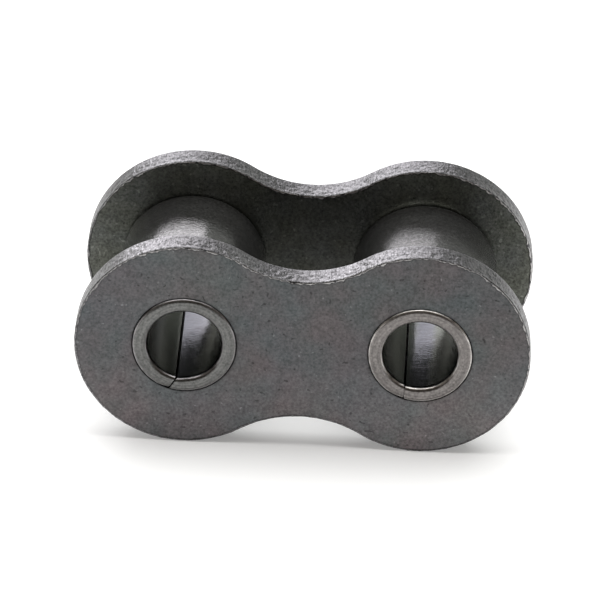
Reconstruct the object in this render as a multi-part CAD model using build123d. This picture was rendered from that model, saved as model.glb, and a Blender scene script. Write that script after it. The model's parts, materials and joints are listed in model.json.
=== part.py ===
"""Inner link of a roller chain: two waisted plates pressed on two curled bushes, with a free roller on each.

Lengths are millimetres and angles are degrees. X runs along the chain, from bush to bush, Y runs along
the bushes and Z is up. The origin is the middle of the link, halfway between the two bush axes.
The link stands on the round ends of its plates.
"""

from build123d import *
from math import atan2, degrees, radians, tan
import os

# Chain size: three-quarter inch pitch
PITCH = 19.05  # from bush axis to bush axis
INSIDE_WIDTH = 12.57  # between the two plates

# Bushes, curled from flat strip, so each has a seam along its whole length
BUSH_BORE = 6.0  # diameter that the next link's pin turns in
BUSH_WALL = 1.225  # thickness of the strip
BUSH_STANDOUT = 0.17  # how far each end stands out of its plate
BUSH_OUTER_ROUND = 0.5  # rounding of each end's outer corner, which leads the bush into its plate
BUSH_BORE_ROUND = 0.4  # rounding of each end's inner corner
SEAM_GAP = 0.1  # width of the seam
SEAM_FLARE = 25.0  # how steeply each side of the seam opens towards both surfaces
SEAM_FLARE_DEPTH = 0.12  # how far below each surface the seam starts to open
LIP_HOLLOW_OFFSET = 0.8  # how much smaller the radius of the hollowed lip is than the bore's
LEFT_SEAM_ANGLE = 14.0  # from straight down towards -X, as the front shows it
LEFT_SEAM_SLANT = 16.0  # lean of the seam's cut away from the radius
LEFT_LIP_MISMATCH = 0.17  # how far each lip is out of true at the seam
RIGHT_SEAM_ANGLE = 19.0
RIGHT_SEAM_SLANT = -15.0
RIGHT_LIP_MISMATCH = 0.06

# Plates, blanked from strip with the burr on the front of both
PLATE_THICKNESS = 2.4
LOBE_WALL = 4.7  # steel round each bush hole
WAIST_DEPTH = 2.7  # how far each side of the waist curves in from the height of the lobes
PLATE_ROLLOVER = 0.42  # rounding that blanking leaves round the back of a plate
PLATE_EDGE_BREAK = 0.12  # tumbled burr edge round the front of a plate
HOLE_EDGE_BREAK = 0.06  # broken edge at both ends of each bush hole

# Rollers, free to turn between the plates
ROLLER_WALL = 1.65
ROLLER_RUNNING_CLEARANCE = 0.08  # radial, between roller and bush
ROLLER_SIDE_CLEARANCE = 0.14  # between each end of a roller and the plate
ROLLER_OUTER_ROUND = 0.4  # rounding of the outer corners
ROLLER_BORE_CHAMFER = 0.25  # chamfer at both ends of the bore

# Sizes that follow from the ones above
BUSH_OUTSIDE = BUSH_BORE + 2 * BUSH_WALL  # 8.45, which the holes of the plates grip line to line
BUSH_LENGTH = INSIDE_WIDTH + 2 * PLATE_THICKNESS + 2 * BUSH_STANDOUT
LOBE_RADIUS = BUSH_OUTSIDE / 2 + LOBE_WALL
ROLLER_BORE = BUSH_OUTSIDE + 2 * ROLLER_RUNNING_CLEARANCE
ROLLER_OUTSIDE = ROLLER_BORE + 2 * ROLLER_WALL  # 11.91, which a sprocket tooth bears on
ROLLER_LENGTH = INSIDE_WIDTH - 2 * ROLLER_SIDE_CLEARANCE
FRONT_PLATE_BACK = -INSIDE_WIDTH / 2  # Y of each plate's back face
REAR_PLATE_BACK = INSIDE_WIDTH / 2 + PLATE_THICKNESS


def plate_outline():
    """Edges of a plate: two round lobes, and two hollow waist arcs that touch both lobes."""
    waist_half_height = LOBE_RADIUS - WAIST_DEPTH
    # Where the waist circle touches a lobe circle, their centres are the sum of their radii apart.
    waist_radius = ((PITCH / 2) ** 2 + waist_half_height**2 - LOBE_RADIUS**2) / (2 * WAIST_DEPTH)
    waist_centre = waist_half_height + waist_radius
    touch_angle = degrees(atan2(waist_centre, PITCH / 2))
    lobe_sweep = 360 - 2 * touch_angle
    waist_sweep = 180 - 2 * touch_angle
    return [
        CenterArc((PITCH / 2, 0), LOBE_RADIUS, touch_angle - 180, lobe_sweep),
        CenterArc((0, waist_centre), waist_radius, touch_angle - 180, waist_sweep),
        CenterArc((-PITCH / 2, 0), LOBE_RADIUS, touch_angle, lobe_sweep),
        CenterArc((0, -waist_centre), waist_radius, touch_angle, waist_sweep),
    ]


def link_plate():
    """One plate with its back face on Y = 0 and its burr side towards -Y."""
    with BuildPart() as plate:
        with BuildSketch(Plane.XZ):
            with BuildLine():
                add(plate_outline())
            make_face()
            with Locations((-PITCH / 2, 0), (PITCH / 2, 0)):
                Circle(BUSH_OUTSIDE / 2, mode=Mode.SUBTRACT)
        extrude(amount=PLATE_THICKNESS)

        hole_rims = [rim for face in plate.faces().filter_by(Axis.Y) for rim in face.inner_wires()]
        chamfer([edge for rim in hole_rims for edge in rim.edges()], HOLE_EDGE_BREAK)
        back = plate.faces().filter_by(Axis.Y).sort_by(Axis.Y)[-1]
        fillet(back.outer_wire().edges(), PLATE_ROLLOVER)
        front = plate.faces().filter_by(Axis.Y).sort_by(Axis.Y)[0]
        chamfer(front.outer_wire().edges(), PLATE_EDGE_BREAK)
    return plate.part


def half_section(inside_radius, outside_radius, length):
    """Half-section of a round part along Y: a rectangle to the right of the axis."""
    wall = outside_radius - inside_radius
    return Pos(inside_radius + wall / 2, 0) * Rectangle(wall, length)


def inner_corners(section):
    """Both corners of a half-section that face the axis."""
    return section.edges().sort_by(Axis.X)[0].vertices()


def outer_corners(section):
    """Both corners of a half-section that face outwards."""
    return section.edges().sort_by(Axis.X)[-1].vertices()


def seam_slot():
    """Cross-section of the seam: a narrow slot along X whose sheared corners flare at both surfaces."""
    slot_end = BUSH_WALL / 2 - SEAM_FLARE_DEPTH
    flare_end = BUSH_WALL
    flare_half_width = SEAM_GAP / 2 + (flare_end - slot_end) * tan(radians(SEAM_FLARE))
    upper = [
        (-flare_end, flare_half_width),
        (-slot_end, SEAM_GAP / 2),
        (slot_end, SEAM_GAP / 2),
        (flare_end, flare_half_width),
    ]
    lower = [(x, -y) for x, y in reversed(upper)]
    return make_face(Polyline(*upper, *lower, close=True))


def bush(seam_angle, seam_slant, lip_mismatch):
    """Curled bush round Y: a strip whose two ends don't quite line up where they meet at the seam.

    One lip lies in from the hole of the plate, as if flattened, and the bore is hollowed along the other.
    """
    wall = half_section(BUSH_BORE / 2, BUSH_OUTSIDE / 2, BUSH_LENGTH)
    wall = fillet(outer_corners(wall), min(BUSH_OUTER_ROUND, BUSH_WALL / 2.5))
    wall = fillet(inner_corners(wall), min(BUSH_BORE_ROUND, BUSH_WALL / 2.5))

    foot = Rot(0, 0, -90 - seam_angle)
    seam = foot * Pos((BUSH_OUTSIDE + BUSH_BORE) / 4, 0) * Rot(0, 0, -seam_slant)
    one_side = seam * Pos(0, -BUSH_OUTSIDE / 2) * Rectangle(2 * BUSH_OUTSIDE, BUSH_OUTSIDE)
    other_side = seam * Pos(0, BUSH_OUTSIDE / 2) * Rectangle(2 * BUSH_OUTSIDE, BUSH_OUTSIDE)
    flat = foot * Pos(BUSH_OUTSIDE - lip_mismatch, 0) * Rectangle(BUSH_OUTSIDE, BUSH_OUTSIDE) & one_side
    hollow_radius = BUSH_BORE / 2 - LIP_HOLLOW_OFFSET
    hollow = foot * Pos(LIP_HOLLOW_OFFSET + lip_mismatch, 0) * Circle(hollow_radius) & other_side

    strip = revolve(wall, Axis.Y)
    for cut in (flat, hollow, seam * seam_slot()):
        strip -= extrude(Plane.XZ * cut, BUSH_LENGTH, both=True)
    return strip


def roller():
    """Plain tube round Y with rounded outer corners and a chamfered bore."""
    section = half_section(ROLLER_BORE / 2, ROLLER_OUTSIDE / 2, ROLLER_LENGTH)
    section = fillet(outer_corners(section), min(ROLLER_OUTER_ROUND, ROLLER_WALL / 2.5))
    section = chamfer(inner_corners(section), min(ROLLER_BORE_CHAMFER, ROLLER_WALL / 2.5))
    return revolve(section, Axis.Y)


def link():
    """All the pieces of the link in place, by name."""
    left = Pos(-PITCH / 2, 0, 0)
    right = Pos(PITCH / 2, 0, 0)
    return {
        "front_plate": Pos(0, FRONT_PLATE_BACK, 0) * link_plate(),
        "rear_plate": Pos(0, REAR_PLATE_BACK, 0) * link_plate(),
        "left_bush": left * bush(LEFT_SEAM_ANGLE, LEFT_SEAM_SLANT, LEFT_LIP_MISMATCH),
        "right_bush": right * bush(RIGHT_SEAM_ANGLE, RIGHT_SEAM_SLANT, RIGHT_LIP_MISMATCH),
        "left_roller": left * roller(),
        "right_roller": right * roller(),
    }


os.makedirs("parts", exist_ok=True)
for name, shape in link().items():
    export_step(shape, f"parts/{name}.step")
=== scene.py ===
"""Inner link of a roller chain on a pale studio floor: two plates, two curled bushes and two rollers."""

import json
from functools import reduce
from math import cos, radians, sin

import bmesh
import bpy
import numpy as np
from mathutils import Matrix, Vector

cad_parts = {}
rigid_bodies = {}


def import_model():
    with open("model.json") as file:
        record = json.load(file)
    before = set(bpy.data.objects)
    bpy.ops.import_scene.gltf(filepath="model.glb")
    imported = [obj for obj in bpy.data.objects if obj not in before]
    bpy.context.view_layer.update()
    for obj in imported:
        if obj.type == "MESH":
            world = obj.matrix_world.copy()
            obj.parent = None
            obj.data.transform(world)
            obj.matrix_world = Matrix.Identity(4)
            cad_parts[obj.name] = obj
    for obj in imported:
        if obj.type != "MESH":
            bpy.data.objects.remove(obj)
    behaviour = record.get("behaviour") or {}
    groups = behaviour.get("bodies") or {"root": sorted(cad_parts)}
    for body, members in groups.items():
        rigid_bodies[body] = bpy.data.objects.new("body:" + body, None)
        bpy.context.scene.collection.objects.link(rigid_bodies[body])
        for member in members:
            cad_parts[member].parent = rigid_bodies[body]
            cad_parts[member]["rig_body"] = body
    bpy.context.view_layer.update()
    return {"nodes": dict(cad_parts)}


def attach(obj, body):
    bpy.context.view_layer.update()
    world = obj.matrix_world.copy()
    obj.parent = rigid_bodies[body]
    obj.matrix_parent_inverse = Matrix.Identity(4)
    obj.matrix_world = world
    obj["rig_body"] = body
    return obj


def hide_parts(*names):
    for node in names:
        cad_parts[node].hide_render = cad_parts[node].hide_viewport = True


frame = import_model()
MM = 0.001  # the lengths below are in millimetres, and the scene is in metres

# Camera: a long lens that looks down on the front plate, turned a little about its own axis and moved
# sideways and up until the link lies in the picture as it does in the photograph.
CAMERA_DISTANCE = 530.2
CAMERA_ELEVATION = radians(28.65)
CAMERA_TURN = radians(1.49)  # round the vertical, towards +X
CAMERA_ROLL = radians(1.88)
CAMERA_LENS, SENSOR_WIDTH = 383.9, 36  # focal length and width of the picture
CAMERA_SIDEWAYS, CAMERA_UPWARDS = -0.207, -0.423
CAMERA_REACH = (0.01, 20)  # nearest and farthest place that it sees, in metres

swing = Matrix.Rotation(CAMERA_TURN, 3, "Z")
view_right = swing @ Vector((1, 0, 0))
view_up = swing @ Vector((0, sin(CAMERA_ELEVATION), cos(CAMERA_ELEVATION)))
view_back = swing @ Vector((0, -cos(CAMERA_ELEVATION), sin(CAMERA_ELEVATION)))
picture_right = cos(CAMERA_ROLL) * view_right + sin(CAMERA_ROLL) * view_up
picture_up = cos(CAMERA_ROLL) * view_up - sin(CAMERA_ROLL) * view_right
camera_axes = Matrix((picture_right, picture_up, view_back)).transposed()
camera_place = view_back * CAMERA_DISTANCE + picture_right * CAMERA_SIDEWAYS + picture_up * CAMERA_UPWARDS

camera = bpy.data.objects.new("camera", bpy.data.cameras.new("camera"))
bpy.context.scene.collection.objects.link(camera)
camera.matrix_world = Matrix.Translation(camera_place * MM) @ camera_axes.to_4x4()
camera.data.lens = CAMERA_LENS
camera.data.sensor_width = SENSOR_WIDTH
camera.data.clip_start, camera.data.clip_end = CAMERA_REACH
bpy.context.scene.camera = camera
bpy.context.scene.view_settings.view_transform = "Standard"

# Link plates: two figure-eight plates blanked from steel strip, heat treated and tumbled to a dull dark
# grey. The punch leaves a rounded back corner, a sheared band that is torn towards the front, and a
# ragged burr round the front face. Each plate is pressed on both bushes.
PITCH = 19.05  # from bush axis to bush axis
INSIDE_WIDTH = 12.57  # between the two plates
BUSH_OUTSIDE = 8.45
PLATE_THICKNESS = 2.4
LOBE_RADIUS = 8.925
WAIST_HALF_HEIGHT = 6.225
ROLLOVER = 0.42  # rounding of the back corner
HOLE_GAP = 0.012  # shows as a dark line between a bush and its plate
HOLE_BREAK = 0.045  # broken edge at both ends of a hole

WAIST_DEPTH = LOBE_RADIUS - WAIST_HALF_HEIGHT
WAIST_RADIUS = ((PITCH / 2) ** 2 + WAIST_HALF_HEIGHT**2 - LOBE_RADIUS**2) / (2 * WAIST_DEPTH)
WAIST_CENTRE = WAIST_HALF_HEIGHT + WAIST_RADIUS
TOUCH = np.arctan2(PITCH / 2, WAIST_CENTRE)  # angle of the waist arc from its middle to a lobe
WAIST_ARC = TOUCH * WAIST_RADIUS  # length of that arc
QUARTER = WAIST_ARC + (np.pi / 2 + TOUCH) * LOBE_RADIUS  # length of a quarter of the outline

RIM_POINTS = 960  # along the outline
RIM_STEP = 4 * QUARTER / RIM_POINTS
ROW_STEP = 0.1  # between two rows of points across the rim, roughly
BAND_ROWS = 22
ROLLOVER_ROWS = 10
MARGIN, MARGIN_END, MARGIN_STEP = 1.4, 0.5, 0.12  # insets of the rows just inside the front face's outline
BACK_MARGIN = 0.7  # inset of the rim's last row, on the back face
FRONT_ROWS = (0, 0.04, 0.12, 0.25, 0.45, 0.65, 0.82, 0.92, 0.98)  # share of the way from the rim to a hole
BACK_ROWS = (0.97, 0.8, 0.5, 0.2, 0)
MIDDLE_POINTS = 32  # along the line between the two halves of a face

# The burr: how far it bites in from the outline, how high it stands, and how deep it drags the edge of
# the band. Each has a mean, a least and a most, then the height and length of its waves along the rim.
BURR_BITE = (0.15, 0.05, 0.32, (0.02, 1.2), (0.035, 0.3), (0.035, 0.14))
BURR_HEIGHT = (0.012, 0, 0.04, (0.01, 0.6), (0.006, 0.2))
BURR_DRAG = (0.09, 0.03, 0.2, (0.02, 0.5), (0.02, 0.16))

# The sheared band: how far its front edge and its mean relief lie inside the outline, and its relief as
# height and as size across and along the rim
BAND_INSET, BAND_SINK = 0.014, 0.035
COARSE_TEARS = (0.011, 0.4, 0.3)
FINE_TEARS = (0.010, 0.22, 0.13)
SCORES = (0.003, 3.0, 0.14)
RELIEF_FULL = 0.4  # depth behind the front face at which the relief has its full height
TEARS_FULL, TEARS_FAINT, FAINT = 1.0, 2.1, 0.1  # depths between which the tears grow faint, and how faint
SHEAR_END = 1.6  # angle round the back corner, in radians, at which the sheared steel has faded out

# The sheared attribute beyond its 0 on the faces and 1 on the band, whose values below 0 mark painted
# shade at the burr's foot, in each hole and beside it, and the rim_place off the rim
BURR_CREST, PAINTED_SHADE_MARK, PAINTED_SHADE_BESIDE_HOLE = 2, -1, -0.25
OFF_RIM = 9.0


def tumbled_relief(shape, steps, sizes, seed):
    """Smooth random relief on a grid of rows and columns, with a mean of 0 and a spread of 1: white noise
    whose spectrum is multiplied by a bell curve, so that its bumps are about as large as the two sizes.
    The steps are the distances between rows and between columns. It repeats after the last row and
    column."""
    noise = np.random.default_rng(seed).standard_normal(shape)
    row_wave = np.fft.fftfreq(shape[0], steps[0])[:, None] * sizes[0]
    column_wave = np.fft.rfftfreq(shape[1], steps[1])[None, :] * sizes[1]
    bell = np.exp(-4 * (row_wave**2 + column_wave**2))
    relief = np.fft.irfft2(np.fft.rfft2(noise) * bell, s=shape)
    return (relief - relief.mean()) / relief.std()


def outline():
    """Distance along a plate's outline, clockwise from the bottom of the waist, with the points and their
    outward normals. One quarter is the waist arc and then the lobe arc, and the others mirror it."""
    distance = np.arange(RIM_POINTS) * RIM_STEP
    from_waist = QUARTER - np.abs(QUARTER - distance % (2 * QUARTER))
    on_waist = from_waist < WAIST_ARC
    waist = from_waist / WAIST_RADIUS
    lobe = np.pi / 2 + TOUCH - (from_waist - WAIST_ARC) / LOBE_RADIUS
    x = np.where(on_waist, WAIST_RADIUS * np.sin(waist), PITCH / 2 + LOBE_RADIUS * np.cos(lobe))
    z = np.where(on_waist, WAIST_CENTRE - WAIST_RADIUS * np.cos(waist), LOBE_RADIUS * np.sin(lobe))
    normal_x = np.where(on_waist, -np.sin(waist), np.cos(lobe))
    normal_z = np.where(on_waist, np.cos(waist), np.sin(lobe))
    index = np.arange(RIM_POINTS)
    side = np.where(index <= RIM_POINTS // 2, -1, 1)
    half = np.where((index > RIM_POINTS // 4) & (index < 3 * RIM_POINTS // 4), 1, -1)
    return distance, x * side, z * half, normal_x * side, normal_z * half


def rim_profile(normal_z, seed):
    """Depth behind the front face, inset from the outline and share of sheared steel, at each station
    across the rim and each point along it: the margin of the front face, the burr, the torn and the
    sheared band, the round back corner and the margin of the back face. The burr is worn smoother along
    the edges that face down, and the band's relief only ever lies inside its outline."""

    def ragged(figures, first_seed, sharpness=1):
        """One measure of the burr along the rim: its mean plus its waves, between two limits."""
        mean, least, most, *waves = figures
        ripple = sum(
            height * tumbled_relief((1, RIM_POINTS), (1, RIM_STEP), (0, length), first_seed + number)[0]
            for number, (height, length) in enumerate(waves)
        )
        return np.clip(mean + ripple * sharpness, least, most)

    sharpness = np.clip(0.65 + 0.6 * normal_z, 0.25, 1)  # least where the rim faces down
    bite = ragged(BURR_BITE, seed + 1, sharpness)
    burr = ragged(BURR_HEIGHT, seed + 4)
    drag = ragged(BURR_DRAG, seed + 6)
    band_end = PLATE_THICKNESS - ROLLOVER

    margin = [(0, inset, 0) for inset in np.arange(MARGIN, MARGIN_END, -MARGIN_STEP)]
    # The burr's foot is marked for painted shade
    corner = [
        (0, bite + 0.12, 0),
        (0.3 * burr, bite + 0.06, PAINTED_SHADE_MARK),
        (-0.4 * burr, bite + 0.02, 1),
        (-burr, 0.7 * bite, BURR_CREST),
        (0.35 * drag - 0.5 * burr, 0.1 * bite + 0.03, 1),
        (drag, BAND_INSET, 1),
    ]
    band = [
        (drag + (band_end - drag) * t, BAND_INSET * (1 - t), 1)
        for t in np.linspace(0, 1, BAND_ROWS)[1:]
    ]
    roll = [
        (band_end + ROLLOVER * sin(angle), ROLLOVER * (1 - cos(angle)), 1 - angle / SHEAR_END)
        for angle in np.linspace(0, np.pi / 2, ROLLOVER_ROWS)[1:]
    ]
    stations = margin + corner + band + roll + [(PLATE_THICKNESS, BACK_MARGIN, 0)]
    along_rim = np.zeros(RIM_POINTS)
    depth, inset, sheared = [np.array([along_rim + value for value in column]) for column in zip(*stations)]

    coarse, fine, scores = [
        height * tumbled_relief(depth.shape, (ROW_STEP, RIM_STEP), sizes, seed + 8 + number)
        for number, (height, *sizes) in enumerate((COARSE_TEARS, FINE_TEARS, SCORES))
    ]
    torn = np.clip((TEARS_FAINT - depth) / (TEARS_FAINT - TEARS_FULL), FAINT, 1)
    relief = np.maximum(torn * (coarse + fine) + scores + BAND_SINK, 0)
    inset += np.clip(sheared, 0, 1) * relief * np.clip(depth / RELIEF_FULL, 0.25, 1)
    return depth, inset, sheared


def grid_faces(rows, columns, start):
    """Quads of a grid of rows by columns of points, numbered row by row from start."""
    index = start + np.arange(rows * columns).reshape(rows, columns)
    corners = (index[:-1, :-1], index[:-1, 1:], index[1:, 1:], index[1:, :-1])
    return np.stack(corners, axis=-1).reshape(-1, 4)


def grid_mesh(name, blocks, attributes, caps=()):
    """Smooth mesh of several grids of points in millimetres, whose shared edges are welded. Each block is
    the points and then the values of the attributes. Caps are further faces, by their points' numbers."""
    counts = [block[0].shape[0] * block[0].shape[1] for block in blocks]
    starts = np.concatenate(([0], np.cumsum(counts)))
    points = np.concatenate([block[0].reshape(-1, 3) for block in blocks])
    faces = np.concatenate([grid_faces(*block[0].shape[:2], start) for block, start in zip(blocks, starts)])
    mesh = bpy.data.meshes.new(name)
    mesh.from_pydata((points * MM).tolist(), [], faces.tolist() + [list(cap) for cap in caps])
    for number, attribute in enumerate(attributes, 1):
        width = 1 if blocks[0][number].ndim == 2 else 3
        values = np.concatenate([block[number].reshape(-1, width) for block in blocks]).astype(np.float32)
        layer = mesh.attributes.new(attribute, "FLOAT" if width == 1 else "FLOAT_VECTOR", "POINT")
        layer.data.foreach_set("value" if width == 1 else "vector", values.ravel())
    weld_distance = 0.0005
    shape = bmesh.new()
    shape.from_mesh(mesh)
    bmesh.ops.remove_doubles(shape, verts=shape.verts, dist=weld_distance * MM)
    bmesh.ops.recalc_face_normals(shape, faces=shape.faces)
    shape.to_mesh(mesh)
    shape.free()
    mesh.shade_smooth()
    return mesh


def stand_in(mesh, node, material):
    """Shows a piece in place of a CAD node, made to move with the node's body."""
    piece = bpy.data.objects.new(mesh.name, mesh)
    bpy.context.scene.collection.objects.link(piece)
    mesh.materials.append(material)
    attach(piece, frame["nodes"][node]["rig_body"])
    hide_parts(node)


def plate_blocks(front, seed):
    """Grids of a plate whose front face lies at Y = front. The first is the rim: the outline by the rim's
    profile. The other two are the halves: rays over the front face to the hole, through it and back over
    the back face, from and to the rim's margin or the middle line. They carry painted shade in the hole
    and right beside it."""
    distance, x, z, normal_x, normal_z = outline()
    depth, inset, sheared = rim_profile(normal_z, seed)
    rim = np.stack((x - inset * normal_x, front + depth, z - inset * normal_z), axis=-1)
    rim_place = np.stack((np.broadcast_to(distance, depth.shape), depth, inset), axis=-1)
    facing = np.broadcast_to(normal_x, depth.shape)
    blocks = [[np.concatenate((grid, grid[:, :1]), axis=1) for grid in (rim, sheared, rim_place, facing)]]

    back = front + PLATE_THICKNESS
    hole = BUSH_OUTSIDE / 2 + HOLE_GAP
    half = np.arange(RIM_POINTS // 2 + 1)
    steps = np.linspace(0, 1, MIDDLE_POINTS)[1:-1, None]
    for side, picked in ((-1, half), (1, (half + RIM_POINTS // 2) % RIM_POINTS)):
        edges = []
        for row in (0, -1):
            edge = rim[row][picked]
            middle = edge[-1] + (edge[0] - edge[-1]) * steps
            edges.append(np.concatenate((edge, middle, edge[:1])))
        front_edge, back_edge = edges
        centre = np.array((side * PITCH / 2, 0, 0))
        outwards = (front_edge - centre) * (1, 0, 1)
        outwards /= np.linalg.norm(outwards, axis=1, keepdims=True)

        def ring(radius, y):
            """Points round the hole, one on each ray."""
            return centre + (0, y, 0) + radius * outwards

        front_ring, back_ring = ring(hole + HOLE_BREAK, front), ring(hole + HOLE_BREAK, back)
        front_rows = [front_edge + (front_ring - front_edge) * t for t in FRONT_ROWS]
        hole_rows = [
            front_ring,
            ring(hole + 0.3 * HOLE_BREAK, front + 0.3 * HOLE_BREAK),
            ring(hole, front + HOLE_BREAK),
            ring(hole, back - HOLE_BREAK),
        ]
        back_rows = [back_edge + (back_ring - back_edge) * t for t in BACK_ROWS]
        grid = np.stack([*front_rows, *hole_rows, back_ring, *back_rows])
        # Painted shade in the hole, and fainter on the row of the face right beside it
        share = np.zeros(grid.shape[:2])
        share[len(front_rows) - 1] = PAINTED_SHADE_BESIDE_HOLE
        share[len(front_rows):len(front_rows) + len(hole_rows)] = PAINTED_SHADE_MARK
        blocks.append([grid, share, np.full(grid.shape, OFF_RIM), np.zeros(share.shape)])
    return blocks


def steel(name, colour, roughness):
    """A new metal, its node tree and its shader."""
    material = bpy.data.materials.new(name)
    material.use_nodes = True
    shader = material.node_tree.nodes["Principled BSDF"]
    shader.inputs["Base Color"].default_value = (*colour, 1)
    shader.inputs["Metallic"].default_value = 1
    shader.inputs["Roughness"].default_value = roughness
    return material, material.node_tree, shader


def feed(tree, value, socket):
    """Links a socket to another one, or sets it to a plain value."""
    if isinstance(value, bpy.types.NodeSocket):
        tree.links.new(value, socket)
    else:
        socket.default_value = value


def speckle(tree, place, size, detail, stretch=(1, 1, 1), unit=MM):
    """Noise whose blotches are about size millimetres across, drawn out by stretch along each axis. The
    unit is MM for a place in metres and 1 for one in millimetres."""
    scale = tree.nodes.new("ShaderNodeMapping")
    scale.inputs["Scale"].default_value = [1 / (size * unit * s) for s in stretch]
    tree.links.new(place, scale.inputs["Vector"])
    noise = tree.nodes.new("ShaderNodeTexNoise")
    noise.inputs["Scale"].default_value = 1
    noise.inputs["Detail"].default_value = detail
    noise.inputs["Roughness"].default_value = 0.6
    tree.links.new(scale.outputs["Vector"], noise.inputs["Vector"])
    return noise.outputs["Fac"]


def spread(tree, value, low, high, at=(0.3, 0.7)):
    """The value mapped from the range at to the range low to high, held at its ends."""
    node = tree.nodes.new("ShaderNodeMapRange")
    for socket, number in zip(list(node.inputs)[1:5], (*at, low, high)):
        feed(tree, number, socket)
    tree.links.new(value, node.inputs["Value"])
    return node.outputs["Result"]


def arithmetic(tree, kind, first, second=0):
    """Sum, product or other result of two values, or of one."""
    node = tree.nodes.new("ShaderNodeMath")
    node.operation = kind
    feed(tree, first, node.inputs[0])
    feed(tree, second, node.inputs[1])
    return node.outputs[0]


def product(tree, *values):
    """Product of two or more values."""
    return reduce(lambda first, second: arithmetic(tree, "MULTIPLY", first, second), values)


def tints(tree, value, low, high, at=(0.3, 0.7)):
    """Colour between low and high over the given part of the value's range."""
    node = tree.nodes.new("ShaderNodeValToRGB")
    for element, colour, position in zip(node.color_ramp.elements, (low, high), at):
        element.color, element.position = (*colour, 1), position
    tree.links.new(value, node.inputs["Fac"])
    return node.outputs["Color"]


def mixed(tree, share, first, second, kind="MIX"):
    """Colour that goes from the first to the second, or to their product, as the share rises to 1."""
    node = tree.nodes.new("ShaderNodeMix")
    node.data_type, node.blend_type = "RGBA", kind
    # A Mix node takes its share at socket 0 and colours at 6 and 7, and gives a colour at 2.
    for socket, value in ((0, share), (6, first), (7, second)):
        feed(tree, value, node.inputs[socket])
    return node.outputs[2]


def shaded(tree, *colours):
    """Product of two or more colours, or of a colour and a shade."""
    return reduce(lambda first, second: mixed(tree, 1.0, first, second, "MULTIPLY"), colours)


def bump(tree, height, depth, under=None):
    """Relief of the given depth in millimetres, over the relief under it."""
    node = tree.nodes.new("ShaderNodeBump")
    node.inputs["Distance"].default_value = depth * MM
    tree.links.new(height, node.inputs["Height"])
    if under is not None:
        tree.links.new(under, node.inputs["Normal"])
    return node.outputs["Normal"]


def attribute(tree, name, output):
    """Value of one of the mesh's own attributes."""
    node = tree.nodes.new("ShaderNodeAttribute")
    node.attribute_name = name
    return node.outputs[output]


def along_axes(tree, place):
    """The X, Y and Z of a place."""
    node = tree.nodes.new("ShaderNodeSeparateXYZ")
    tree.links.new(place, node.inputs["Vector"])
    return list(node.outputs)


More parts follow.
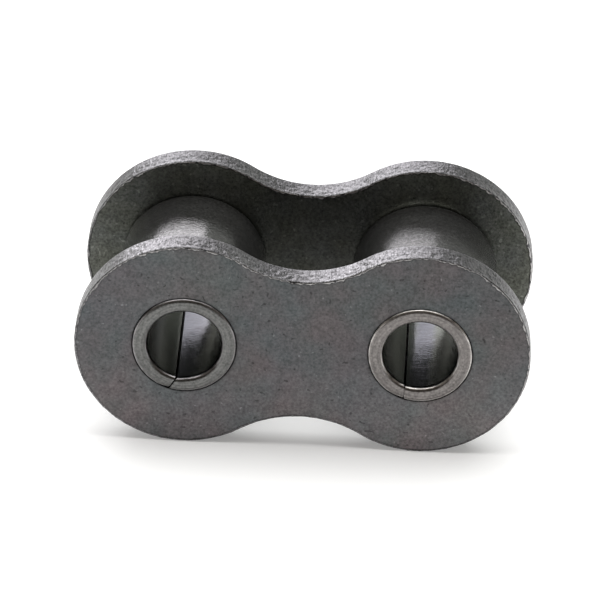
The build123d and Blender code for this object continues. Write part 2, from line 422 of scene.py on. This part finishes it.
def plate_steel(name, red_tints, blue_tints, hues, grain_range, painted_foot_light, painted_top_shade,
                band_colour, painted_band_shades, painted_lean_shades, burr_bare_and_glint):
    """Dull tumbled steel with faint heat tints, fine grain, and a few tiny dark pits and light nicks. Its
    hue drifts from foot to top. Painted light lightens the foot and painted shade darkens the top, more
    at the right, and painted shade darkens the burr's foot, each hole's edge and the face right beside
    it. The sheared band is coarser, scored across by the punch, and darker at its rolled-over corner;
    painted highlight and shade make it lightest where it leans to the left but darker where it faces far
    to the left, darkest where it leans a little to the right but lighter where it faces far to the
    right, and darker towards the right of the link. The burr's crest is lighter in patches, bare steel
    with a painted glint. Inside the link, between the plates, painted light lightens the faces beside
    the rollers."""
    material, tree, shader = steel(name, (0.1, 0.1, 0.1), 0.4)
    place = tree.nodes.new("ShaderNodeTexCoord").outputs["Object"]
    x, y, z = along_axes(tree, place)
    share = attribute(tree, "sheared", "Fac")
    rim_place = attribute(tree, "rim_place", "Vector")
    facing = attribute(tree, "facing", "Fac")  # -1 where the rim faces left and 1 where it faces right

    # The faces
    red = tints(tree, speckle(tree, place, 3.2, 1), *red_tints)
    blue = tints(tree, speckle(tree, place, 6.0, 1), *blue_tints)
    hue = tints(tree, spread(tree, z, 0, 1, (-7 * MM, 6 * MM)), *hues, (0, 1))
    grain = spread(tree, speckle(tree, place, 0.2, 2), *grain_range)
    cloud = spread(tree, speckle(tree, place, 1.1, 1), 0.93, 1.07)
    pits = spread(tree, speckle(tree, place, 0.39, 0), 1, 0.6, (0.77, 0.8))
    nicks = spread(tree, speckle(tree, place, 0.36, 0), 1, 1.6, (0.785, 0.81))
    # Painted light that lightens the foot and painted shade that darkens the top, both more at the right
    foot, top = [spread(tree, x, *shades, (-4 * MM, 8 * MM)) for shades in (painted_foot_light, painted_top_shade)]
    low = spread(tree, z, foot, 1, (-8 * MM, -1 * MM))
    high = spread(tree, z, 1, top, (-1 * MM, 5 * MM))
    # Painted shade: darker at the burr's foot, in the hole and right beside it
    painted_shade_lines = spread(tree, share, 0.6, 1, (PAINTED_SHADE_MARK, 0))
    # Painted light that lightens the faces inside the link, between the plates, beside the rollers
    inside = spread(tree, arithmetic(tree, "ABSOLUTE", y), 1, 0, (6.5 * MM, 6.6 * MM))
    from_middle = arithmetic(tree, "ABSOLUTE", x)
    beside = spread(tree, from_middle, 0, 1, (2.5 * MM, 6 * MM))
    before_end = spread(tree, from_middle, 1, 0, (8 * MM, 12.5 * MM))
    painted_light_inside = spread(tree, product(tree, inside, beside, before_end), 1, 2.1, (0, 1))
    tone = product(tree, grain, cloud, pits, nicks, painted_shade_lines, low, high, painted_light_inside)
    face = shaded(tree, red, blue, hue, tone)

    # The sheared band, with painted highlight and shade by which way it leans: brightest where it leans
    # back to the left
    tears = spread(tree, speckle(tree, place, 0.14, 2, (1, 2.5, 1)), 0.15, 1.95)
    scores = spread(tree, speckle(tree, rim_place, 0.13, 1, (1, 14, 14), 1), 0.8, 1.15)
    # Painted shade towards the right of the link, and painted highlight and shade by which way the band
    # leans
    painted_side_shade = spread(tree, x, *painted_band_shades, (-6 * MM, 9 * MM))
    leaning = spread(tree, facing, *painted_lean_shades, (-0.5, 0.12))
    painted_shade_left_end = spread(tree, facing, 0.7, 1, (-0.7, -0.55))
    painted_light_right_end = spread(tree, facing, 1, 2.2, (0.24, 0.5))
    rolled = spread(tree, share, 0.6, 1, (0.7, 0.97))
    band_tone = product(tree, tears, scores, painted_side_shade, leaning, painted_shade_left_end, painted_light_right_end, rolled)
    band = shaded(tree, band_tone, (*band_colour, 1))

    # The burr's crest, lighter in patches: bare steel and a painted glint, fainter at the foot and the left
    # end
    crest = spread(tree, share, 0, 1, (1.1, 1.7))
    bare = spread(tree, speckle(tree, rim_place, 0.7, 2, (1, 9, 9), 1), 0, 1, (0.38, 0.52))
    fainter_at_foot = spread(tree, z, 0.2, 1, (-7 * MM, -2 * MM))
    fainter_at_left_end = spread(tree, facing, 0.3, 1, (-0.97, -0.7))
    bare_and_painted_glint = product(tree, crest, bare, fainter_at_foot, fainter_at_left_end)
    edge = mixed(tree, bare_and_painted_glint, band, (burr_bare_and_glint, 0.98 * burr_bare_and_glint, 0.97 * burr_bare_and_glint, 1))

    sheared = spread(tree, share, 0, 1, (0, 0.6))
    tree.links.new(mixed(tree, sheared, face, edge), shader.inputs["Base Color"])
    tree.links.new(spread(tree, sheared, 0.42, 0.37, (0, 1)), shader.inputs["Roughness"])
    fine = bump(tree, speckle(tree, place, 0.18, 2), 0.016)
    torn = product(tree, speckle(tree, place, 0.15, 2, (1, 2.5, 1)), sheared)
    tree.links.new(bump(tree, torn, 0.033, fine), shader.inputs["Normal"])
    return material


# Each plate: Y of its front face and the seed of its edge
PLATES = {
    "front_plate": (-INSIDE_WIDTH / 2 - PLATE_THICKNESS, 11),
    "rear_plate": (INSIDE_WIDTH / 2, 47),
}
# The tints lie between brown and blue on the front plate, and are olive on the rear one. Hues go from
# foot to top. The painted foot light and painted top shade go from left to right, as do the band's
# painted shades; the painted lean shades go from a lean to the left to one to the right. The burr's
# shade is that of its bare steel and painted glint.
PLATE_LOOKS = {
    "front_plate": dict(
        red_tints=((0.0895, 0.0945, 0.095), (0.1035, 0.0935, 0.096)),
        blue_tints=((0.94, 0.975, 1.0), (0.98, 0.985, 0.965)),
        hues=((1.0, 0.955, 0.955), (0.97, 0.99, 1.0)),
        grain_range=(0.74, 1.28),
        painted_foot_light=(1.33, 1.58),
        painted_top_shade=(0.96, 0.87),
        band_colour=(0.122, 0.12, 0.124),
        painted_band_shades=(0.9, 0.76),
        painted_lean_shades=(1.45, 0.43),
        burr_bare_and_glint=0.36,
    ),
    "rear_plate": dict(
        red_tints=((0.104, 0.107, 0.104), (0.097, 0.099, 0.086)),
        blue_tints=((0.99, 1.0, 0.96), (1.0, 0.99, 1.0)),
        hues=((1.0, 1.0, 0.98), (0.98, 1.0, 0.98)),
        grain_range=(0.62, 1.4),
        painted_foot_light=(1.27, 1.4),
        painted_top_shade=(1, 1),
        band_colour=(0.092, 0.091, 0.094),
        painted_band_shades=(0.8, 0.76),
        painted_lean_shades=(1.4, 0.6),
        burr_bare_and_glint=0.55,
    ),
}
for node, (front, seed) in PLATES.items():
    mesh = grid_mesh(node + "_blanked", plate_blocks(front, seed), ("sheared", "rim_place", "facing"))
    stand_in(mesh, node, plate_steel(node + "_steel", **PLATE_LOOKS[node]))

# Bushes: case-hardened strip curled into a tube whose two lips meet at a seam. One lip lies a little flat
# outside and the bore is hollowed along the other. The ends stand out of the plates, which hold each bush
# by a press fit.
BUSH_BORE = 6.0
BUSH_LENGTH = 17.71
BUSH_WALL = (BUSH_OUTSIDE - BUSH_BORE) / 2
BORE_ROUND = 0.4  # rounding of the bore's ends
# The outer corner of each end, as inset and depth: a shallow cone, and a worn shoulder next to the plate
CORNER = (
    (0.36, 0), (0.3, 0.006), (0.24, 0.024), (0.18, 0.048), (0.12, 0.072), (0.085, 0.092),
    (0.055, 0.132), (0.032, 0.17), (0.012, 0.22), (0, 0.3),
)
BORE_FADE = 0.4  # angle round the bore's corner, in radians, at which the bore's dark oxide ends
BORE_WEAR = (0.6, 0.4)  # angle round the bore's corner of its brightest wear, and how far that reaches
SHOULDER_WEAR = (0.13, 0.06, 1.4)  # depth of its brightest wear, how far that reaches, its strength
LIP_CROWDING = 0.78  # how much closer the points round a bush lie at its lips, of their mean step
FLARE_START = 7 / 12  # of the way from the middle of the wall to its surface
HOLLOW_REACH, FLAT_REACH = 28, 17  # degrees from the seam
LIP_EASING = 1.6
PRESSED_IN = 0.004  # how far the outside lies inside its true size, so that it touches nothing
BORE_RELIEF = (0.0012, (0.25, 0.08), (0.5, 0.6))  # height of its bumps, the grid's steps, the bumps' size
END_RELIEF = (0.002, (0.1, 0.08), (0.2, 0.25))  # the same for the ends
END_SINK, END_SINK_MOST = 0.003, 0.01  # mean and greatest depth of that relief
END_START = 8.3  # how far from the middle of the bush it begins
BUSH_COLUMNS, LENGTH_ROWS, CORNER_ROWS, FACE_ROWS = 330, 72, 10, 5
BUSH_PLACE_RADIUS = 3.6  # radius at which the bush_place attribute measures lengths round the bush


def ridge(value, crest, reach, strength=1):
    """Wear that is strongest at its crest and falls by 1 over its reach on both sides."""
    return strength - abs(value - crest) / reach


def bush_section():
    """Section of a bush's wall along its axis, as a closed loop: radius, Y, share of bore and share of
    wear, from the front end of the bore backwards, round the back end, along the outside and round the
    front end."""
    bore, outside, end = BUSH_BORE / 2, BUSH_OUTSIDE / 2, BUSH_LENGTH / 2
    along = np.linspace(-1, 1, LENGTH_ROWS)
    inner = [(bore, y, 1, 0) for y in along * (end - BORE_ROUND)]
    bore_corner = [
        (
            bore + BORE_ROUND * (1 - cos(angle)),
            end - BORE_ROUND * (1 - sin(angle)),
            1 - angle / BORE_FADE,
            ridge(angle, *BORE_WEAR),
        )
        for angle in np.linspace(0, np.pi / 2, CORNER_ROWS)[1:]
    ]
    face_radii = np.linspace(bore + BORE_ROUND, outside - CORNER[0][0], FACE_ROWS)[1:-1]
    face = [(radius, end, 0, 0) for radius in face_radii]
    outer_corner = [
        (outside - inset, end - depth, 0, ridge(depth, *SHOULDER_WEAR)) for inset, depth in CORNER
    ]
    back_end = bore_corner + face + outer_corner
    hidden = along[4:-4:4]  # under the plates and the roller, where few rows are enough
    outer = [(outside, y, 0, 0) for y in hidden * -(end - CORNER[-1][1])]
    front_end = [(radius, -y, *shares) for radius, y, *shares in reversed(back_end)]
    return np.array(inner + back_end + outer + front_end)


def bush_blocks(side, seam_angle, lean, gap, flare, flat, hollow, seed):
    """Grid of a bush round its axis, from lip to lip: the section swept round, with the outside drawn in
    near one lip, the bore drawn out near the other, and the lips leaning as the seam's cut does. Both
    lips are closed by a cap."""
    radius, y, bore_share, wear = bush_section().T[:, :, None]
    bore = BUSH_BORE / 2
    height = (radius - bore) / BUSH_WALL
    lateral = -(radius - bore - BUSH_WALL / 2) * np.tan(radians(lean))
    flared = np.clip((np.abs(2 * height - 1) - FLARE_START) / (1 - FLARE_START), 0, 1)
    opening = gap / 2 + flare * flared**2
    foot = radians(-90 - seam_angle)
    first = foot + (lateral + opening) / radius
    last = foot + 2 * np.pi + (lateral - opening) / radius
    round_bush = np.linspace(0, 1, BUSH_COLUMNS)
    round_bush = round_bush - LIP_CROWDING * np.sin(2 * np.pi * round_bush) / (2 * np.pi)
    angle = first + (last - first) * round_bush

    from_first = np.degrees(angle - foot)
    from_last = np.degrees(foot + 2 * np.pi - angle)
    inside = bore + hollow * np.clip(1 - from_first / HOLLOW_REACH, 0, 1) ** LIP_EASING
    outside = bore + BUSH_WALL - flat * np.clip(1 - from_last / FLAT_REACH, 0, 1) ** LIP_EASING
    bumps, dents = [
        tallest * tumbled_relief(angle.shape, *figures, seed + number)
        for number, (tallest, *figures) in enumerate((BORE_RELIEF, END_RELIEF))
    ]
    on_outside, in_bore, on_end = height > 0.99, bore_share > 0, np.abs(y) > END_START
    swept = inside + (outside - inside) * height - on_outside * PRESSED_IN + bumps * in_bore
    along = y - np.sign(y) * on_end * np.clip(END_SINK + dents, 0, END_SINK_MOST)

    points = np.stack((side * PITCH / 2 + swept * np.cos(angle), along, swept * np.sin(angle)), axis=-1)
    bored, worn = [np.broadcast_to(np.clip(share, 0, 1), angle.shape) for share in (bore_share, wear)]
    place = np.stack((angle * BUSH_PLACE_RADIUS, np.broadcast_to(y, angle.shape), swept), axis=-1)
    block = [np.concatenate((grid, grid[:1])) for grid in (points, bored, worn, place)]
    first_lip = np.arange(len(angle)) * BUSH_COLUMNS
    last_lip = first_lip + BUSH_COLUMNS - 1
    return [block], [first_lip, last_lip[::-1]]


def bush_steel(name, end_colour, worn_colour, strip, lean, wander):
    """Satin ground steel on the ends, with bright worn corners, and dark oxide in the bore, finely scored
    round it. A pin has polished a strip along the bottom, given by the four angles from straight down
    where it begins, is full, is still full and ends, by how far it leans and by how far its edges
    wander."""
    material, tree, shader = steel(name, (0.17, 0.17, 0.17), 0.3)
    place = tree.nodes.new("ShaderNodeTexCoord").outputs["Object"]
    bored = attribute(tree, "bored", "Fac")
    worn = attribute(tree, "worn", "Fac")
    bush_place = attribute(tree, "bush_place", "Vector")
    round_bush, backwards, _ = along_axes(tree, bush_place)

    # The ends
    grain = spread(tree, speckle(tree, place, 0.2, 2), 0.68, 1.32)
    rings = spread(tree, speckle(tree, bush_place, 0.14, 2, (40, 1, 1), 1), 0.78, 1.22)
    ground = shaded(tree, product(tree, grain, rings), (*end_colour, 1))
    patchy = product(tree, worn, spread(tree, speckle(tree, place, 0.9, 2), 0.3, 1, (0.35, 0.6)))
    end = mixed(tree, patchy, ground, (*worn_colour, 1))

    # The bore
    leaning = product(tree, backwards, -lean)
    wandering = spread(tree, speckle(tree, place, 1.2, 1), -wander, wander)
    round_bore = arithmetic(tree, "ADD", round_bush, arithmetic(tree, "ADD", leaning, wandering))
    begin, full, still_full, over = [BUSH_PLACE_RADIUS * radians(angle - 90) for angle in strip]
    rising = spread(tree, round_bore, 0, 1, (begin, full))
    falling = spread(tree, round_bore, 1, 0, (still_full, over))
    polished = product(tree, rising, falling)
    oxide = tints(tree, polished, (0.028, 0.032, 0.027), (0.0205, 0.022, 0.027), (0, 1))
    mottle = spread(tree, speckle(tree, place, 0.25, 2), 0.8, 1.2)
    pits = spread(tree, speckle(tree, place, 0.4, 1), 1, 0.3, (0.7, 0.76))
    bore = shaded(tree, product(tree, mottle, pits, rings), oxide)
    bore_edge = tints(tree, polished, (0.9, 0.9, 0.87), (1, 1, 1), (0, 1))
    bore_roughness = spread(tree, polished, 0.25, 0.15, (0, 1))

    tree.links.new(mixed(tree, bored, end, bore), shader.inputs["Base Color"])
    tree.links.new(mixed(tree, bored, (1, 1, 1, 1), bore_edge), shader.inputs["Specular Tint"])
    tree.links.new(spread(tree, bored, 0.3, bore_roughness, (0, 1)), shader.inputs["Roughness"])
    fine = bump(tree, speckle(tree, place, 0.2, 2), 0.006)
    scored = bump(tree, speckle(tree, bush_place, 0.12, 1, (60, 1, 1), 1), 0.006, fine)
    tree.links.new(scored, shader.inputs["Normal"])
    return material


# Each bush: its side, its seam's angle from straight down towards -X and its lean, the seam's gap and
# flare, the depths of the flat and of the hollow, and the seed of its relief
BUSHES = {
    "left_bush": (-1, 14.0, 16.0, 0.065, 0.07, 0.17, 0.17, 5),
    "right_bush": (1, 19.0, -15.0, 0.055, 0.08, 0.08, 0.05, 23),
}
BUSH_LOOKS = {
    "left_bush": dict(
        end_colour=(0.118, 0.118, 0.115),
        worn_colour=(0.42, 0.40, 0.41),
        strip=(-40, -30, 30, 42),
        lean=0.2,
        wander=0.45,
    ),
    "right_bush": dict(
        end_colour=(0.157, 0.146, 0.141),
        worn_colour=(0.95, 0.92, 0.88),
        strip=(-19, -4, 16, 26),
        lean=0.06,
        wander=0.15,
    ),
}
for node, figures in BUSHES.items():
    blocks, lips = bush_blocks(*figures)
    mesh = grid_mesh(node + "_curled", blocks, ("bored", "worn", "bush_place"), lips)
    stand_in(mesh, node, bush_steel(node + "_steel", **BUSH_LOOKS[node]))

# Rollers: seamless case-hardened tubes, turned and tumbled smooth and dark. Each turns freely on its
# bush, between the two plates, and the right one's corners are worn bright.
ROLLER_BORE = 8.61
ROLLER_OUTSIDE = 11.91
ROLLER_LENGTH = 12.29
ROLLER_ROUND = 0.4  # rounding of the outer corners
ROLLER_CHAMFER = 0.25  # at both ends of the bore
ROLLER_WEAR = (0.5, 0.4)  # angle round an outer corner of its brightest wear, and how far that reaches
ROLLER_SINK, ROLLER_SINK_MOST = 0.004, 0.02  # mean and greatest depth of the tumbled outside's relief
ROLLER_RELIEF, ROLLER_STEPS = 0.0012, (0.2, 0.1)  # height of its dents and waves, and the grid's steps
DENT_SIZE, WAVE_SIZE = 0.5, 2.5
ROLLER_COLUMNS, ROLLER_LENGTH_ROWS = 360, 64
ROLLER_PLACE_RADIUS = 6  # radius at which the roller_place attribute measures lengths round the roller


def roller_blocks(side, seed):
    """Grid of a roller: the section of its wall, a closed loop, turned round the bush's axis."""
    bore, outside, end = ROLLER_BORE / 2, ROLLER_OUTSIDE / 2, ROLLER_LENGTH / 2
    along = np.linspace(-1, 1, ROLLER_LENGTH_ROWS)
    outer = [(outside, y, 0) for y in along * (end - ROLLER_ROUND)]
    corner = [
        (
            outside - ROLLER_ROUND * (1 - cos(angle)),
            end - ROLLER_ROUND * (1 - sin(angle)),
            ridge(angle, *ROLLER_WEAR),
        )
        for angle in np.linspace(0, np.pi / 2, CORNER_ROWS)[1:]
    ]
    face_radii = np.linspace(outside - ROLLER_ROUND, bore + ROLLER_CHAMFER, FACE_ROWS)[1:]
    face = [(radius, end, 0) for radius in face_radii]
    back_end = corner + face
    hidden = along[::9]  # on the bush, where few rows are enough
    inner = [(bore, y, 0) for y in hidden * -(end - ROLLER_CHAMFER)]
    front_end = [(radius, -y, wear) for radius, y, wear in reversed(back_end)]
    radius, y, wear = np.array(outer + back_end + inner + front_end).T[:, :, None]
    angle = np.linspace(0, 2 * np.pi, ROLLER_COLUMNS + 1)[:-1] - np.pi / 2

    shape = (len(radius), ROLLER_COLUMNS)
    dents, waves = [
        ROLLER_RELIEF * tumbled_relief(shape, ROLLER_STEPS, (size, size), seed + number)
        for number, size in enumerate((DENT_SIZE, WAVE_SIZE))
    ]
    on_outside = radius > outside - ROLLER_ROUND - 0.01
    swept = radius - on_outside * np.clip(ROLLER_SINK + dents + waves, 0, ROLLER_SINK_MOST)
    y, angle, wear = [np.broadcast_to(grid, shape) for grid in (y, angle, np.clip(wear, 0, 1))]
    points = np.stack((side * PITCH / 2 + swept * np.cos(angle), y, swept * np.sin(angle)), axis=-1)
    place = np.stack((angle * ROLLER_PLACE_RADIUS, y, swept), axis=-1)
    closed = [np.concatenate((grid, grid[:1])) for grid in (points, wear, place)]
    return [[np.concatenate((grid, grid[:, :1]), axis=1) for grid in closed]]


def roller_steel(name, wear, shade, roughness):
    """Dark smooth steel with fine turning marks and tumbling speckle, and more or less bright corners."""
    material, tree, shader = steel(name, (0.13, 0.13, 0.13), roughness)
    shader.inputs["Metallic"].default_value = 0.78
    place = tree.nodes.new("ShaderNodeTexCoord").outputs["Object"]
    roller_place = attribute(tree, "roller_place", "Vector")
    worn = product(tree, attribute(tree, "worn", "Fac"), wear)
    grain = spread(tree, speckle(tree, place, 0.2, 2), 0.5, 1.5)
    rings = speckle(tree, roller_place, 0.14, 2, (40, 1, 1), 1)
    turned = product(tree, grain, spread(tree, rings, 0.88, 1.12))
    tone = shaded(tree, turned, (shade, shade, 0.98 * shade, 1))
    tree.links.new(mixed(tree, worn, tone, (0.5, 0.5, 0.48, 1)), shader.inputs["Base Color"])
    fine = bump(tree, speckle(tree, place, 0.2, 2), 0.018)
    tree.links.new(bump(tree, rings, 0.004, fine), shader.inputs["Normal"])
    return material


# Each roller: its side and the seed of its relief
ROLLERS = {"left_roller": (-1, 71), "right_roller": (1, 83)}
ROLLER_LOOKS = {
    "left_roller": dict(wear=0.0, shade=0.09, roughness=0.16),
    "right_roller": dict(wear=0.8, shade=0.075, roughness=0.27),
}
for node, (side, seed) in ROLLERS.items():
    mesh = grid_mesh(node + "_turned", roller_blocks(side, seed), ("worn", "roller_place"))
    stand_in(mesh, node, roller_steel(node + "_steel", **ROLLER_LOOKS[node]))

# Studio: white paper under the lobes, a large soft panel behind and a little to the left, whose right
# edge ends the highlights, and a soft panel overhead. The room is dark in front and pale behind.
FLOOR_HEIGHT = -LOBE_RADIUS
FLOOR_HALF = 260
FLOOR_GLOW = 0.26  # light of its own, which keeps the shadows pale
ROOM_FRONT, ROOM_BACK = (0.13, 0.11, 0.09), (0.665, 0.68, 0.645)
ROOM_CHANGE = (-0.2, 0.3)  # directions along Y between which the room goes from dark to pale

floor_mesh = bpy.data.meshes.new("floor")
floor_corners = [
    (x * FLOOR_HALF * MM, y * FLOOR_HALF * MM, FLOOR_HEIGHT * MM)
    for x, y in ((-1, -1), (1, -1), (1, 1), (-1, 1))
]
floor_mesh.from_pydata(floor_corners, [], [(0, 1, 2, 3)])
floor = bpy.data.objects.new("floor", floor_mesh)
bpy.context.scene.collection.objects.link(floor)
paper, _, shader = steel("floor_paper", (0.8, 0.8, 0.8), 1)
shader.inputs["Metallic"].default_value = 0
shader.inputs["Specular IOR Level"].default_value = 0
shader.inputs["Emission Color"].default_value = (1, 1, 1, 1)
shader.inputs["Emission Strength"].default_value = FLOOR_GLOW
floor_mesh.materials.append(paper)


def panel(name, azimuth, elevation, distance, width, height, radiance, colour):
    """Soft rectangular lamp that faces the link from a direction, azimuth 0 being +Y and 90 +X, in
    degrees and millimetres. A lamp's power is its radiance times pi times its area."""
    lamp = bpy.data.lights.new(name, "AREA")
    lamp.shape = "RECTANGLE"
    lamp.size, lamp.size_y = width * MM, height * MM
    lamp.energy = radiance * np.pi * lamp.size * lamp.size_y
    lamp.color = colour
    holder = bpy.data.objects.new(name, lamp)
    bpy.context.scene.collection.objects.link(holder)
    turn, rise = radians(azimuth), radians(elevation)
    away = Vector((sin(turn) * cos(rise), cos(turn) * cos(rise), sin(rise)))
    holder.location = away * distance * MM
    holder.rotation_mode = "QUATERNION"
    holder.rotation_quaternion = away.to_track_quat("Z", "Y")


panel(
    "back_panel", azimuth=-10.25, elevation=20, distance=1000, width=602, height=560,
    radiance=4.6, colour=(0.98, 0.945, 1.0),
)
panel(
    "top_panel", azimuth=0, elevation=78, distance=1000, width=1800, height=1000,
    radiance=3.41, colour=(1.0, 1.0, 1.0),
)

studio = bpy.data.worlds.new("studio")
bpy.context.scene.world = studio
studio.use_nodes = True
tree = studio.node_tree
_, forwards, _ = along_axes(tree, tree.nodes.new("ShaderNodeTexCoord").outputs["Generated"])
room = tints(tree, spread(tree, forwards, 0, 1, ROOM_CHANGE), ROOM_FRONT, ROOM_BACK, (0, 1))
seen = tree.nodes.new("ShaderNodeLightPath").outputs["Is Camera Ray"]
tree.links.new(mixed(tree, seen, room, (1, 1, 1, 1)), tree.nodes["Background"].inputs["Color"])
